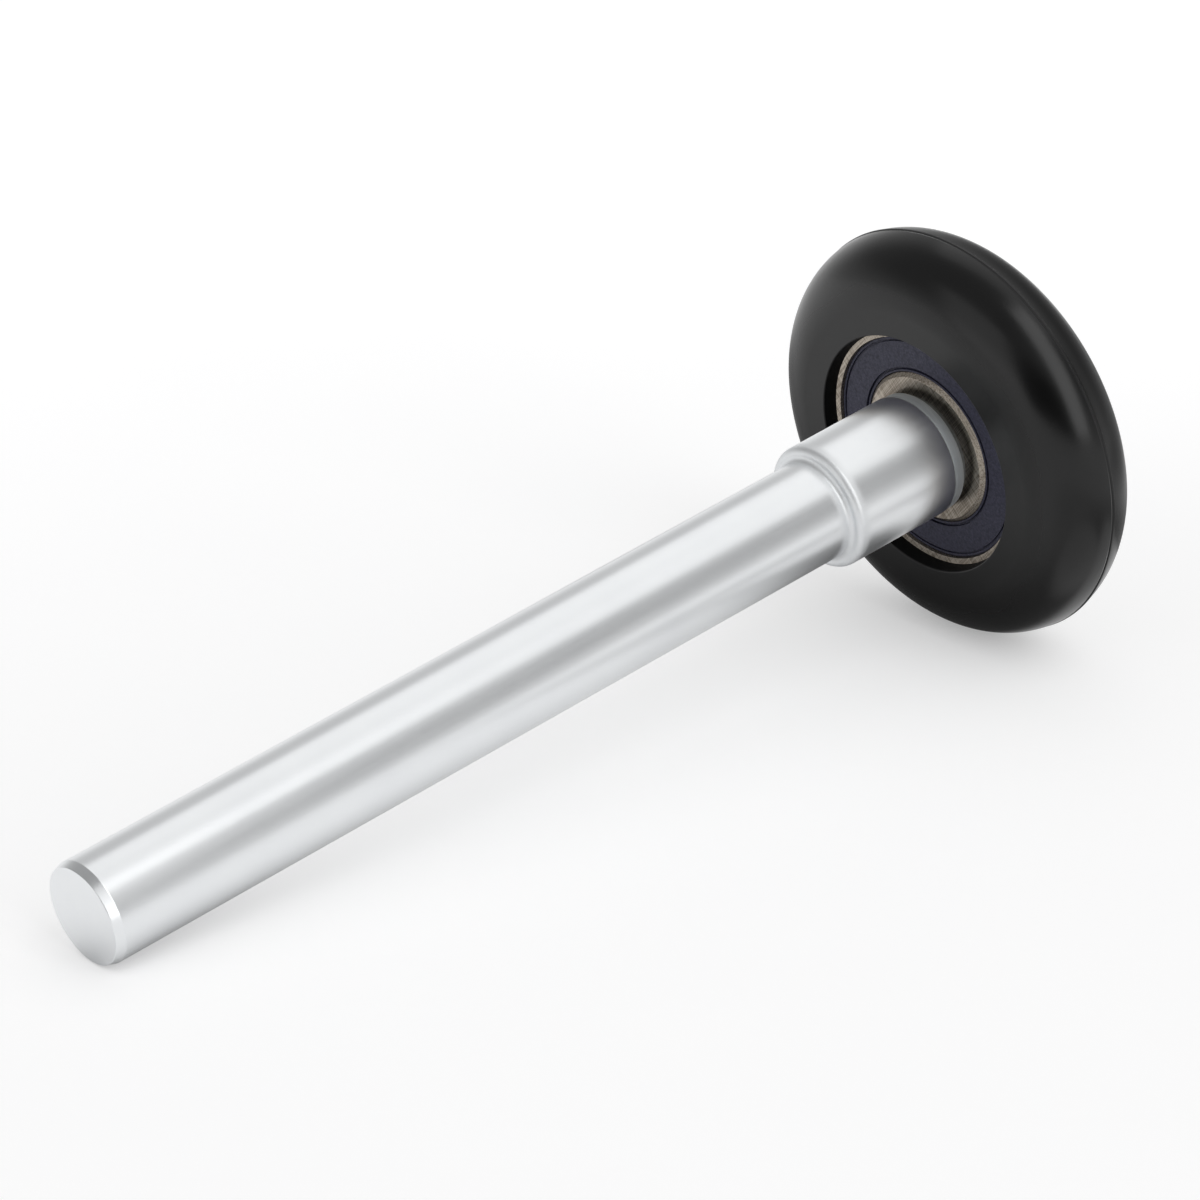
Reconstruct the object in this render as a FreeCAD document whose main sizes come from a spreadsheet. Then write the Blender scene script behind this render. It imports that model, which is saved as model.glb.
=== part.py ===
"""Garage door roller: a stepped steel stem riveted into a sealed ball bearing that carries a moulded tyre.

The row frame has its origin at the wheel's centre, on the axle line. The wheel spins about +Y, the stem
points to -Y and +Z is up. In every half-section the sketch's X is the radius and its Y is the place along
the axle, so each turned piece is its half-section swept once round the Y axis.
"""
import FreeCAD
import Part
import Sketcher
import math
import os
import re

PARTS_FOLDER = "parts"

# Driving sizes in millimetres and degrees
SIZES = {
    # Stem: a rod with a bevelled tip, a thicker collar that ends in a turned band and a short neck beside
    # the bearing, and a journal through the bore
    "stem_diameter": 11.0,
    "stem_reach": 117.0,
    "tip_bevel_length": 1.0,
    "tip_bevel_depth": 0.3,
    "collar_diameter": 13.8,
    "collar_length": 16.1,
    "shoulder_hollow_share": 0.43,
    "collar_band_length": 1.4,
    "collar_band_step": 0.12,
    "collar_end_length": 0.8,
    "collar_end_depth": 0.7,
    # Riveted far end of the stem, on its washer
    "rivet_head_overhang": 1.7,
    "rivet_head_height": 1.4,
    "rivet_edge_height": 0.6,
    "rivet_dimple_radius": 2.2,
    "rivet_dimple_depth": 0.4,
    "washer_thickness": 1.0,
    "washer_margin": 0.7,
    # Bearing rings
    "bearing_bore": 10.0,
    "bearing_outside": 30.0,
    "bearing_width": 9.0,
    "ring_corner": 0.6,
    "pitch_diameter": 20.0,
    "inner_groove_depth": 1.08,
    "outer_groove_depth": 0.78,
    "inner_edge_bevel": 0.45,
    "ring_mouth_bevel": 0.1,
    # Balls, and how closely the grooves follow them
    "ball_diameter": 4.762,
    "ball_count": 8,
    "groove_share": 0.515,
    "ball_clearance": 0.015,
    # Ribbon cage of two pressed halves
    "cage_band_width": 1.8,
    "cage_sheet": 0.5,
    "pocket_clearance": 0.1,
    "cage_rivet_clearance": 0.1,
    "cage_rivet_share": 0.6,
    "cage_rivet_head_height": 0.3,
    # Seals: rubber moulded over a steel plate, snapped into the outer ring, lip running on the inner ring
    "seal_recess": 0.35,
    "seal_thickness": 0.95,
    "seal_seat_step": 1.15,
    "seal_bead_depth": 0.25,
    "seal_bead_length": 0.55,
    "seal_lip_clearance": 0.05,
    "seal_lip_width": 0.25,
    "seal_groove_width": 0.25,
    "seal_groove_depth": 0.3,
    "seal_rim_width": 0.3,
    "seal_rim_groove_width": 0.2,
    "seal_rim_groove_depth": 0.15,
    "seal_plate_thickness": 0.3,
    "seal_plate_margin": 0.45,
    # Tyre moulded round the outer ring
    "tyre_wall": 8.25,
    "tyre_lip_thickness": 1.7,
    "tyre_lip_overlap": 1.55,
    "tyre_mouth_flare": 0.25,
    "tyre_mouth_round": 0.3,
    "tyre_crest_angle": 6.0,
    "parting_line_width": 0.24,
    "parting_line_height": 0.05,
}

# Sizes worked out from the driving ones: each follows what it fits
DERIVED = {
    "stem_radius": "=stem_diameter / 2",
    "collar_radius": "=collar_diameter / 2",
    "journal_radius": "=bearing_bore / 2",
    "half_width": "=bearing_width / 2",
    "shoulder_place": "=half_width + collar_length",
    "collar_end": "=half_width + collar_end_length",
    "band_radius": "=collar_radius - collar_band_step",
    "band_place": "=collar_end + collar_band_length",
    "neck_radius": "=collar_radius - collar_end_depth",
    "shoulder_step": "=collar_radius - stem_radius",
    "shoulder_hollow": "=shoulder_step * shoulder_hollow_share",
    "shoulder_round": "=shoulder_step - shoulder_hollow",
    "washer_face": "=half_width + washer_thickness",
    "rivet_head_radius": "=journal_radius + rivet_head_overhang",
    "rivet_head_face": "=washer_face + rivet_head_height",
    "rivet_crown_radius": "=rivet_head_radius * 2",
    "pitch_radius": "=pitch_diameter / 2",
    "ball_radius": "=ball_diameter / 2",
    "groove_radius": "=ball_diameter * groove_share",
    "inner_floor": "=pitch_radius - ball_radius - ball_clearance",
    "outer_floor": "=pitch_radius + ball_radius + ball_clearance",
    "inner_land": "=inner_floor + inner_groove_depth",
    "outer_land": "=outer_floor - outer_groove_depth",
    "inner_groove_half": "=sqrt(groove_radius ^ 2 - (inner_floor + groove_radius - inner_land) ^ 2)",
    "outer_groove_half": "=sqrt(groove_radius ^ 2 - (outer_land - outer_floor + groove_radius) ^ 2)",
    "washer_radius": "=inner_land - washer_margin",
    "pocket_radius": "=ball_radius + pocket_clearance",
    "cup_radius": "=pocket_radius + cage_sheet",
    "cage_inside": "=pitch_radius - cage_band_width / 2",
    "cage_outside": "=pitch_radius + cage_band_width / 2",
    "half_pitch_chord": "=pitch_radius * sin(180 deg / ball_count)",
    "cage_rivet_head": "=half_pitch_chord - cup_radius - cage_rivet_clearance",
    "cage_rivet_shank": "=cage_rivet_head * cage_rivet_share",
    "seal_face": "=half_width - seal_recess",
    "seal_back": "=seal_face - seal_thickness",
    "seal_rim": "=outer_land + seal_seat_step",
    "seal_bead": "=seal_rim + seal_bead_depth",
    "seal_bead_face": "=seal_back + seal_bead_length",
    "seal_lip": "=inner_land + seal_lip_clearance",
    "seal_groove_in": "=seal_lip + seal_lip_width",
    "seal_groove_out": "=seal_groove_in + seal_groove_width",
    "seal_groove_floor": "=seal_face - seal_groove_depth",
    "seal_rim_groove_out": "=seal_rim - seal_rim_width",
    "seal_rim_groove_in": "=seal_rim_groove_out - seal_rim_groove_width",
    "seal_rim_groove_floor": "=seal_face - seal_rim_groove_depth",
    "plate_inside": "=seal_lip + seal_plate_margin",
    "plate_outside": "=seal_bead - seal_plate_margin",
    "plate_face": "=seal_back + seal_plate_thickness",
    "ring_mouth": "=seal_rim + ring_mouth_bevel",
    "ring_outside": "=bearing_outside / 2",
    "lip_bore": "=ring_outside - tyre_lip_overlap",
    "tyre_mouth": "=lip_bore + tyre_mouth_flare",
    "tyre_face": "=half_width + tyre_lip_thickness",
    "tyre_crest": "=ring_outside + tyre_wall",
    "flank_radius": "=tyre_face / (1 - sin(tyre_crest_angle * 1 deg))",
    "flank_centre": "=tyre_crest - flank_radius * cos(tyre_crest_angle * 1 deg)",
    "flank_offset": "=flank_radius - tyre_face",
    "parting_half": "=parting_line_width / 2",
    "parting_foot": "=flank_centre + sqrt(flank_radius ^ 2 - (flank_offset + parting_half) ^ 2)",
    "parting_top": "=parting_foot + parting_line_height",
}

doc = FreeCAD.newDocument("GarageDoorRoller")
sheet = doc.addObject("Spreadsheet::Sheet", "Sizes")
for row, (alias, value) in enumerate({**SIZES, **DERIVED}.items(), start=1):
    sheet.set(f"A{row}", alias)
    sheet.set(f"B{row}", str(value))
    sheet.setAlias(f"B{row}", alias)
doc.recompute()

ON_AXLE = "0"
RULED = {alias: f"Sizes.{alias}" for alias in (*SIZES, *DERIVED)}
FULL_TURN = 360
ALONG_AXLE = FreeCAD.Rotation(FreeCAD.Vector(1, 0, 0), -90)
COUNT = int(sheet.ball_count)
subparts = []


def formula(text):
    """Writes a rule in the sheet's words as an expression that other objects can hold."""
    return re.sub(r"[a-z_]+", lambda found: RULED.get(found[0], found[0]), text)


def size(text):
    """Gives the present value of a rule in the sheet's words."""
    value = sheet.evalExpression(formula(text).replace("Sizes.", ""))
    return float(getattr(value, "Value", value))


def bind(item, **rules):
    """Ties properties of an object to rules in the sheet's words."""
    for name, rule in rules.items():
        item.setExpression(name.replace("__", "."), formula(rule))


def piece(item, label):
    """Keeps an object as one of the roller's pieces, under the name of its node."""
    item.Label = label
    subparts.append(item)
    return item


def arc_between(start, end, radius):
    """Gives the arc from start to end; a positive radius bulges to the right of the way it runs."""
    chord = end - start
    side = FreeCAD.Vector(chord.y, -chord.x, 0).normalize() * math.copysign(1, radius)
    depth = math.sqrt(max(radius ** 2 - (chord.Length / 2) ** 2, 0))
    centre = (start + end) / 2 - side * depth
    circle = Part.Circle(centre, FreeCAD.Vector(0, 0, 1), abs(radius))
    first, last = (start, end) if radius > 0 else (end, start)
    angles = [math.atan2(point.y - centre.y, point.x - centre.x) for point in (first, last)]
    if angles[1] < angles[0]:
        angles[1] += 2 * math.pi
    return Part.ArcOfCircle(circle, angles[0], angles[1])


def half_section(body, corners):
    """Draws a closed half-section on the body's XY plane, every corner and arc tied to the sheet.

    A corner is (radius, place), and a third rule makes the edge that leaves it an arc of that radius.
    """
    sketch = body.newObject("Sketcher::SketchObject", f"{body.Name}Section")
    plane = next(item for item in body.Origin.OriginFeatures if item.Role == "XY_Plane")
    sketch.AttachmentSupport = [(plane, "")]
    sketch.MapMode = "FlatFace"
    points = [FreeCAD.Vector(size(corner[0]), size(corner[1]), 0) for corner in corners]
    ends = []
    for index, corner in enumerate(corners):
        start, end = points[index], points[(index + 1) % len(points)]
        if len(corner) == 2:
            edge = sketch.addGeometry(Part.LineSegment(start, end), False)
            ends.append((edge, 1, 2))
            continue
        radius = size(corner[2])
        edge = sketch.addGeometry(arc_between(start, end, radius), False)
        ends.append((edge, 1, 2) if radius > 0 else (edge, 2, 1))
    for index, corner in enumerate(corners):
        edge, first, last = ends[index]
        next_edge, next_first, _ = ends[(index + 1) % len(ends)]
        sketch.addConstraint(Sketcher.Constraint("Coincident", edge, last, next_edge, next_first))
        if corner[0] == ON_AXLE:
            sketch.addConstraint(Sketcher.Constraint("PointOnObject", edge, first, -2))
        else:
            tie(sketch, f"radius_{index}", "DistanceX", edge, first, points[index].x, corner[0])
        tie(sketch, f"place_{index}", "DistanceY", edge, first, points[index].y, corner[1])
        if len(corner) == 3:
            radius = abs(size(corner[2]))
            number = sketch.addConstraint(Sketcher.Constraint("Radius", edge, radius))
            sketch.renameConstraint(number, f"arc_{index}")
            sketch.setExpression(f"Constraints.arc_{index}", formula(corner[2].lstrip("- ")))
    return sketch


def tie(sketch, name, kind, edge, end, value, rule):
    """Ties one coordinate of an edge's end, measured from the sketch's origin, to a rule."""
    number = sketch.addConstraint(Sketcher.Constraint(kind, -1, 1, edge, end, value))
    sketch.renameConstraint(number, name)
    sketch.setExpression(f"Constraints.{name}", formula(rule))


def turned(label, corners):
    """Makes one piece by sweeping a half-section once round the axle."""
    body = doc.addObject("PartDesign::Body", "".join(word.title() for word in label.split("_")))
    sketch = half_section(body, corners)
    sweep = body.newObject("PartDesign::Revolution", f"{body.Name}Turned")
    sweep.Profile = sketch
    sweep.ReferenceAxis = (sketch, ["V_Axis"])
    sweep.Angle = FULL_TURN
    sketch.Visibility = False
    return piece(body, label)


def rod(name, radius, start, length):
    """Makes a plain cylinder along the axle, from a place towards +Y."""
    item = doc.addObject("Part::Cylinder", name)
    item.Placement = FreeCAD.Placement(FreeCAD.Vector(), ALONG_AXLE)
    bind(item, Radius=radius, Height=length, Placement__Base__y=start)
    return item


def ball_angle(index):
    """Gives the angle of a ball from +X towards +Z; the cage rivets lie half a step away."""
    return f"( {index} + 0.5 ) * 360 deg / ball_count"


def sphere(name, radius, index):
    """Makes a sphere at one ball's place on the pitch circle."""
    item = doc.addObject("Part::Sphere", name)
    bind(
        item,
        Radius=radius,
        Placement__Base__x=f"pitch_radius * cos( {ball_angle(index)} )",
        Placement__Base__z=f"pitch_radius * sin( {ball_angle(index)} )",
    )
    return item


def joined(kind, name, items):
    """Makes a boolean of several objects."""
    item = doc.addObject(kind, name)
    item.Shapes = items
    return item


def cut(name, base, tool):
    """Cuts one object out of another."""
    item = doc.addObject("Part::Cut", name)
    item.Base = base
    item.Tool = tool
    return item


# Stem: one forged and plated piece. The rod slides in the door hinge's tube, the collar keeps the wheel
# clear of the track's lip, and the neck at its end bears on the inner ring only. The journal beyond it is
# pressed into the bearing's bore and riveted over.
turned("stem", [
    (ON_AXLE, "- stem_reach"),
    ("stem_radius - tip_bevel_depth", "- stem_reach"),
    ("stem_radius", "tip_bevel_length - stem_reach"),
    ("stem_radius", "- shoulder_place - shoulder_hollow", "- shoulder_hollow"),
    ("stem_radius + shoulder_hollow", "- shoulder_place", "shoulder_round"),
    ("collar_radius", "shoulder_round - shoulder_place"),
    ("collar_radius", "- band_place"),
    ("band_radius", "collar_band_step - band_place"),
    ("band_radius", "- collar_end"),
    ("neck_radius", "- collar_end"),
    ("neck_radius", "- half_width"),
    ("journal_radius", "- half_width"),
    ("journal_radius", "washer_face"),
    ("rivet_head_radius", "washer_face"),
    ("rivet_head_radius", "washer_face + rivet_edge_height", "rivet_crown_radius"),
    ("rivet_dimple_radius", "rivet_head_face"),
    ("rivet_dimple_radius * 0.4", "rivet_head_face - rivet_dimple_depth"),
    (ON_AXLE, "rivet_head_face - rivet_dimple_depth"),
])

# Washer under the riveted head, so that the riveting bears on it and not on the bearing's hard ring
turned("rear_washer", [
    ("journal_radius", "half_width"),
    ("washer_radius", "half_width"),
    ("washer_radius", "washer_face"),
    ("journal_radius", "washer_face"),
])

# Inner ring: its bevelled outer edge runs beside the seal lip, and its groove carries the balls
turned("bearing_inner_ring", [
    ("journal_radius", "ring_corner - half_width"),
    ("journal_radius + ring_corner", "- half_width"),
    ("inner_land - inner_edge_bevel", "- half_width"),
    ("inner_land", "inner_edge_bevel - half_width"),
    ("inner_land", "- inner_groove_half", "- groove_radius"),
    ("inner_land", "inner_groove_half"),
    ("inner_land", "half_width - inner_edge_bevel"),
    ("inner_land - inner_edge_bevel", "half_width"),
    ("journal_radius + ring_corner", "half_width"),
    ("journal_radius", "half_width - ring_corner"),
])

# Outer ring: a stepped seat at each end holds the seal's rim under a small undercut
turned("bearing_outer_ring", [
    ("outer_land", "outer_groove_half", "- groove_radius"),
    ("outer_land", "- outer_groove_half"),
    ("outer_land", "- seal_back"),
    ("seal_bead", "- seal_back"),
    ("seal_bead", "- seal_bead_face"),
    ("seal_rim", "- seal_bead_face"),
    ("seal_rim", "- seal_face"),
    ("ring_mouth", "- half_width"),
    ("ring_outside - ring_corner", "- half_width"),
    ("ring_outside", "ring_corner - half_width"),
    ("ring_outside", "half_width - ring_corner"),
    ("ring_outside - ring_corner", "half_width"),
    ("ring_mouth", "half_width"),
    ("seal_rim", "seal_face"),
    ("seal_rim", "seal_bead_face"),
    ("seal_bead", "seal_bead_face"),
    ("seal_bead", "seal_back"),
    ("outer_land", "seal_back"),
])

# Balls in a ring on the pitch circle, one node each, because each one spins by itself
for index in range(COUNT):
    piece(sphere(f"Ball{index + 1}", "ball_radius", index), f"ball_{index + 1}")

# Ribbon cage: a flat ring pressed into a cup over each ball. The front half is trimmed from cups and plate
# to the band's width, and the rear half mirrors it.
cups = [sphere(f"Cup{index + 1}", "cup_radius", index) for index in range(COUNT)]
pockets = [sphere(f"Pocket{index + 1}", "pocket_radius", index) for index in range(COUNT)]
plate = rod("CagePlate", "cage_outside", "- cage_sheet", "cage_sheet")
band = cut(
    "CageBand",
    rod("CageRound", "cage_outside", "- cup_radius", "cup_radius"),
    rod("CageHollow", "cage_inside", "- cup_radius - cage_sheet", "cup_radius + 2 * cage_sheet"),
)
pressed = joined("Part::MultiCommon", "CagePressed", [joined("Part::MultiFuse", "CageCups", [plate] + cups), band])
rivet_holes = []
for index in range(COUNT):
    hole = rod(f"RivetHole{index + 1}", "cage_rivet_shank", "- cup_radius", "cup_radius + cage_sheet")
    step = f"{index} * 360 deg / ball_count"
    bind(hole, Placement__Base__x=f"pitch_radius * cos( {step} )", Placement__Base__z=f"pitch_radius * sin( {step} )")
    rivet_holes.append(hole)
cage_front = cut("CageFront", pressed, joined("Part::MultiFuse", "CageHoles", pockets + rivet_holes))
piece(cage_front, "cage_front")
cage_rear = doc.addObject("Part::Mirroring", "CageRear")
cage_rear.Source = cage_front
cage_rear.Normal = FreeCAD.Vector(0, 1, 0)
piece(cage_rear, "cage_rear")

# Cage rivets: one small rivet between each two balls, drawn once and repeated round the axle
rivets = doc.addObject("PartDesign::Body", "CageRivets")
rivet_section = half_section(rivets, [
    ("pitch_radius", "- cage_sheet - cage_rivet_head_height"),
    ("pitch_radius + cage_rivet_head", "- cage_sheet - cage_rivet_head_height"),
    ("pitch_radius + cage_rivet_head", "- cage_sheet"),
    ("pitch_radius + cage_rivet_shank", "- cage_sheet"),
    ("pitch_radius + cage_rivet_shank", "cage_sheet"),
    ("pitch_radius + cage_rivet_head", "cage_sheet"),
    ("pitch_radius + cage_rivet_head", "cage_sheet + cage_rivet_head_height"),
    ("pitch_radius", "cage_sheet + cage_rivet_head_height"),
])
rivet = rivets.newObject("PartDesign::Revolution", "CageRivet")
rivet.Profile = rivet_section
rivet.ReferenceAxis = (rivet_section, ["Edge8"])
rivet.Angle = FULL_TURN
rivet_ring = rivets.newObject("PartDesign::PolarPattern", "CageRivetRing")
rivet_ring.Originals = [rivet]
rivet_ring.Axis = (next(item for item in rivets.Origin.OriginFeatures if item.Role == "Y_Axis"), [""])
rivet_ring.Angle = FULL_TURN
bind(rivet_ring, Occurrences="ball_count")
rivets.Tip = rivet_ring
piece(rivets, "cage_rivets")

# Seals: each rubber ring covers its steel plate from outside, with a lip, a groove beside the lip, and a
# finer groove along the rim. A seal's half-section is the same at both ends with the places turned over.
for end, way in (("front", "-"), ("rear", "")):
    turned(f"seal_{end}", [
        ("seal_lip", f"{way} seal_back"),
        ("seal_lip", f"{way} seal_face"),
        ("seal_groove_in", f"{way} seal_face"),
        ("seal_groove_in", f"{way} seal_groove_floor"),
        ("seal_groove_out", f"{way} seal_groove_floor"),
        ("seal_groove_out", f"{way} seal_face"),
        ("seal_rim_groove_in", f"{way} seal_face"),
        ("seal_rim_groove_in", f"{way} seal_rim_groove_floor"),
        ("seal_rim_groove_out", f"{way} seal_rim_groove_floor"),
        ("seal_rim_groove_out", f"{way} seal_face"),
        ("seal_rim", f"{way} seal_face"),
        ("seal_rim", f"{way} seal_bead_face"),
        ("seal_bead", f"{way} seal_bead_face"),
        ("seal_bead", f"{way} seal_back"),
        ("plate_outside", f"{way} seal_back"),
        ("plate_outside", f"{way} plate_face"),
        ("plate_inside", f"{way} plate_face"),
        ("plate_inside", f"{way} seal_back"),
    ])
    turned(f"seal_plate_{end}", [
        ("plate_inside", f"{way} seal_back"),
        ("plate_outside", f"{way} seal_back"),
        ("plate_outside", f"{way} plate_face"),
        ("plate_inside", f"{way} plate_face"),
    ])

# Tyre: moulded round the outer ring, whose faces it grips with a lip at each end. Two round flanks meet
# in a low ridge at the mould's parting line.
turned("tyre", [
    ("ring_outside", "half_width - ring_corner"),
    ("ring_outside", "ring_corner - half_width"),
    ("ring_outside - ring_corner", "- half_width"),
    ("lip_bore", "- half_width"),
    ("tyre_mouth", "tyre_mouth_round - tyre_face", "tyre_mouth_round"),
    ("tyre_mouth + tyre_mouth_round", "- tyre_face"),
    ("flank_centre", "- tyre_face", "flank_radius"),
    ("parting_foot", "- parting_half"),
    ("parting_top", "- parting_half"),
    ("parting_top", "parting_half"),
    ("parting_foot", "parting_half", "flank_radius"),
    ("flank_centre", "tyre_face"),
    ("tyre_mouth + tyre_mouth_round", "tyre_face", "tyre_mouth_round"),
    ("tyre_mouth", "tyre_face - tyre_mouth_round"),
    ("lip_bore", "half_width"),
    ("ring_outside - ring_corner", "half_width"),
])

doc.recompute()
failed = [item.Label for item in doc.Objects if "Invalid" in item.State or "Error" in item.State]
if failed:
    raise RuntimeError(f"These did not build: {failed}")
for item in subparts:
    if item.Shape.isNull() or not item.Shape.isValid():
        raise RuntimeError(f"{item.Label} is not a valid shape")

os.makedirs(PARTS_FOLDER, exist_ok=True)
for item in subparts:
    item.Shape.exportStep(os.path.join(PARTS_FOLDER, f"{item.Label}.step"))
    print(f"{item.Label}: {len(item.Shape.Solids)} solid, {item.Shape.Volume:.2f} mm3")
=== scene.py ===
"""Dresses the garage door roller, its plated stem, sealed bearing and black tyre, on a white table."""
import bpy
import math
from mathutils import Matrix, Vector


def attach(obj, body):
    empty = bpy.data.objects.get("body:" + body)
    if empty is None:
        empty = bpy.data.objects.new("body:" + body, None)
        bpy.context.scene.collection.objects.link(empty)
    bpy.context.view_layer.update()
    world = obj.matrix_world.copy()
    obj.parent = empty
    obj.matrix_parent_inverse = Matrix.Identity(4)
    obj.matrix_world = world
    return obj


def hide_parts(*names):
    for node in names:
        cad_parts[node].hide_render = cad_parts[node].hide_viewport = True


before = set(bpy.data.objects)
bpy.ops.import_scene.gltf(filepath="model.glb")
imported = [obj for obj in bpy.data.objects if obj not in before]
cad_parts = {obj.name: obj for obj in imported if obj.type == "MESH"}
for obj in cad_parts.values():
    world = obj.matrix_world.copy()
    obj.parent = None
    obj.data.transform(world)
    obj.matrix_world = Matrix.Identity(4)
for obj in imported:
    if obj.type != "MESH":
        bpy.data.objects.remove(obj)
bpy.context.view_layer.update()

# Stem
# One forged piece of steel: a plain rod with a bevelled tip, a soft shoulder up to a thicker collar with a
# turned band and a short neck at its end, and a journal that holds the bearing and is riveted over. It is
# zinc plated after forging.
MM = 0.001
AROUND = 256
EDGE_STEPS, CROWN_STEPS = 6, 48
CRISP = 0.05
TIP_PLACE, TIP_BEVEL_LENGTH, TIP_BEVEL_DEPTH = -117.0, 1.0, 0.3
SHOULDER_PLACE, SHOULDER_HOLLOW, SHOULDER_ROUND = -20.6, 0.6, 0.79
BAND_PLACE, BAND_LEAD, BAND_RISE, BAND_EDGE, COLLAR_END = -6.7, 0.1, 0.015, 0.42, -5.3
HALF_WIDTH = 4.5
WASHER_FACE = 5.5
HEAD_RADIUS, HEAD_EDGE, HEAD_FACE = 6.7, 6.1, 6.9
CROWN_RADIUS, CROWN_PLACE, CROWN_ROUND = 4.52, 6.89, 11.0
DIMPLE_RADIUS, DIMPLE_FLAT, DIMPLE_FLOOR = 2.2, 0.88, 6.5
STEM_RADIUS = 5.5
COLLAR_RADIUS, BAND_RADIUS, NECK_RADIUS = 6.9, 6.78, 6.2
JOURNAL_RADIUS = 5.0
ZINC_BRIGHT, ZINC_DULL = "EDEFF0", "E5E7E9"
ZINC_CLOUD, ZINC_SPECKLE, ZINC_DRAW_WIDTH, ZINC_DRAW_LENGTH = 7.0, 0.4, 0.3, 24.0
FORGED_REACH, FORGED_END, FORGED_ROUGHER = 0.7, 1.7, 0.22
BAND_LIGHT, BAND_GREY, LATHE_WIDTH, LATHE_LENGTH = "DDE2E4", "BCC3C6", 0.09, 2.25
NECK_SHADE_GREY, NECK_SHADE_DARK, NECK_SHADE_EDGE = "A0A4A7", "868A8D", 0.03


def linear(code):
    """Turns an sRGB hex colour into the linear colour that shaders use."""
    parts = [int(code[i:i + 2], 16) / 255 for i in (0, 2, 4)]
    return (*(p / 12.92 if p <= 0.04045 else ((p + 0.055) / 1.055) ** 2.4 for p in parts), 1.0)


def turn_piece(name, corners, body):
    """Turns a half-section round the axle, with exact normals, to stand for the CAD piece of that name.

    A corner is (radius, place along the axle, rounding) in millimetres, and the solid lies left of the way
    that the corners run. A section that starts and ends on the axle is closed there.
    """
    points, normals = [], []
    for index, (radius, place, rounding) in enumerate(corners):
        here = Vector((radius, place))
        before = Vector(corners[index - 1][:2])
        after = Vector(corners[(index + 1) % len(corners)][:2])
        if radius == 0:
            points.append(here)
            normals.append(Vector((0, -1 if before.x == 0 else 1)))
            continue
        into, out = (here - before).normalized(), (after - here).normalized()
        turn = math.atan2(into.x * out.y - into.y * out.x, into.dot(out))
        way = math.copysign(1, turn)
        side = Vector((into.y, -into.x))
        centre = here - into * rounding * math.tan(abs(turn) / 2) - side * rounding * way
        steps = EDGE_STEPS if rounding < 1 else CROWN_STEPS
        for step in range(steps + 1):
            normal = Matrix.Rotation(turn * step / steps, 2) @ side
            points.append(centre + normal * rounding * way)
            normals.append(normal)
    verts, spread, rings = [], [], []
    for point, normal in zip(points, normals):
        ring = range(1 if point.x == 0 else AROUND)
        rings.append([len(verts) + step for step in ring])
        for step in ring:
            angle = 2 * math.pi * step / AROUND
            c, s = math.cos(angle), math.sin(angle)
            verts.append((point.x * c * MM, point.y * MM, point.x * s * MM))
            spread.append((normal.x * c, normal.y, normal.x * s))
    faces = []
    for low, high in zip(rings, rings[1:] + rings[:1]):
        if len(low) == len(high) == 1:
            continue
        for step in range(AROUND):
            following = step + 1
            quad = [ring[turned % len(ring)] for ring, turned in
                    ((low, step), (high, step), (high, following), (low, following))]
            faces.append(list(dict.fromkeys(quad)))
    mesh = bpy.data.meshes.new(name)
    mesh.from_pydata(verts, [], faces)
    mesh.polygons.foreach_set("use_smooth", [True] * len(faces))
    mesh.normals_split_custom_set_from_vertices(spread)
    piece = bpy.data.objects.new(f"{name}_turned", mesh)
    bpy.context.collection.objects.link(piece)
    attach(piece, body)
    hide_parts(name)
    return piece


def add(tree, kind, inputs=None, **settings):
    """Adds a node with its settings; an input that is another node's output is linked, any other is set."""
    node = tree.nodes.new(kind) if isinstance(kind, str) else kind
    for name, value in settings.items():
        setattr(node, name, value)
    for name, value in (inputs or {}).items():
        if isinstance(value, bpy.types.NodeSocket):
            tree.links.new(value, node.inputs[name])
        else:
            node.inputs[name].default_value = value
    return node


def start_finish(name):
    """Opens a material and gives it with its node tree, its shader and the place on the piece in metres."""
    material = bpy.data.materials.new(name)
    material.use_nodes = True
    tree = material.node_tree
    place = add(tree, "ShaderNodeTexCoord").outputs["Object"]
    return material, tree, tree.nodes["Principled BSDF"], place


# Bright zinc with a clear passivation, on steel that was drawn and then forged smooth. It gives the eye a
# clean satin mirror, faintly cloudy, with hairlines along the rod that only soften what it reflects. The
# forged shoulder is duller than the drawn rod and the collar.
zinc, tree, shader, place = start_finish("bright_zinc_plated_steel")
cloud = add(tree, "ShaderNodeTexNoise", {"Vector": place, "Scale": 1 / (ZINC_CLOUD * MM), "Detail": 3.0})
speckle = add(tree, "ShaderNodeTexNoise", {"Vector": place, "Scale": 1 / (ZINC_SPECKLE * MM),
                                           "Detail": 2.0})
along = add(tree, "ShaderNodeVectorMath", {0: place, 1: (1, ZINC_DRAW_WIDTH / ZINC_DRAW_LENGTH, 1)},
            operation="MULTIPLY")
drawn = add(tree, "ShaderNodeTexNoise", {"Vector": along.outputs[0], "Scale": 1 / (ZINC_DRAW_WIDTH * MM)})
mixed = add(tree, "ShaderNodeMath", {0: speckle.outputs["Fac"], 1: drawn.outputs["Fac"]})
colour = add(tree, "ShaderNodeMix", {0: cloud.outputs["Fac"], 6: linear(ZINC_DULL), 7: linear(ZINC_BRIGHT)},
             data_type="RGBA")
rough = add(tree, "ShaderNodeMapRange", {"Value": mixed.outputs[0], "From Min": 0.6, "From Max": 1.4,
                                         "To Min": 0.28, "To Max": 0.32})
along = add(tree, "ShaderNodeSeparateXYZ", {0: place})
off_shoulder = add(tree, "ShaderNodeMath", {0: along.outputs["Y"], 1: SHOULDER_PLACE * MM},
                   operation="SUBTRACT")
off_shoulder = add(tree, "ShaderNodeMath", {0: off_shoulder.outputs[0]}, operation="ABSOLUTE")
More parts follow.
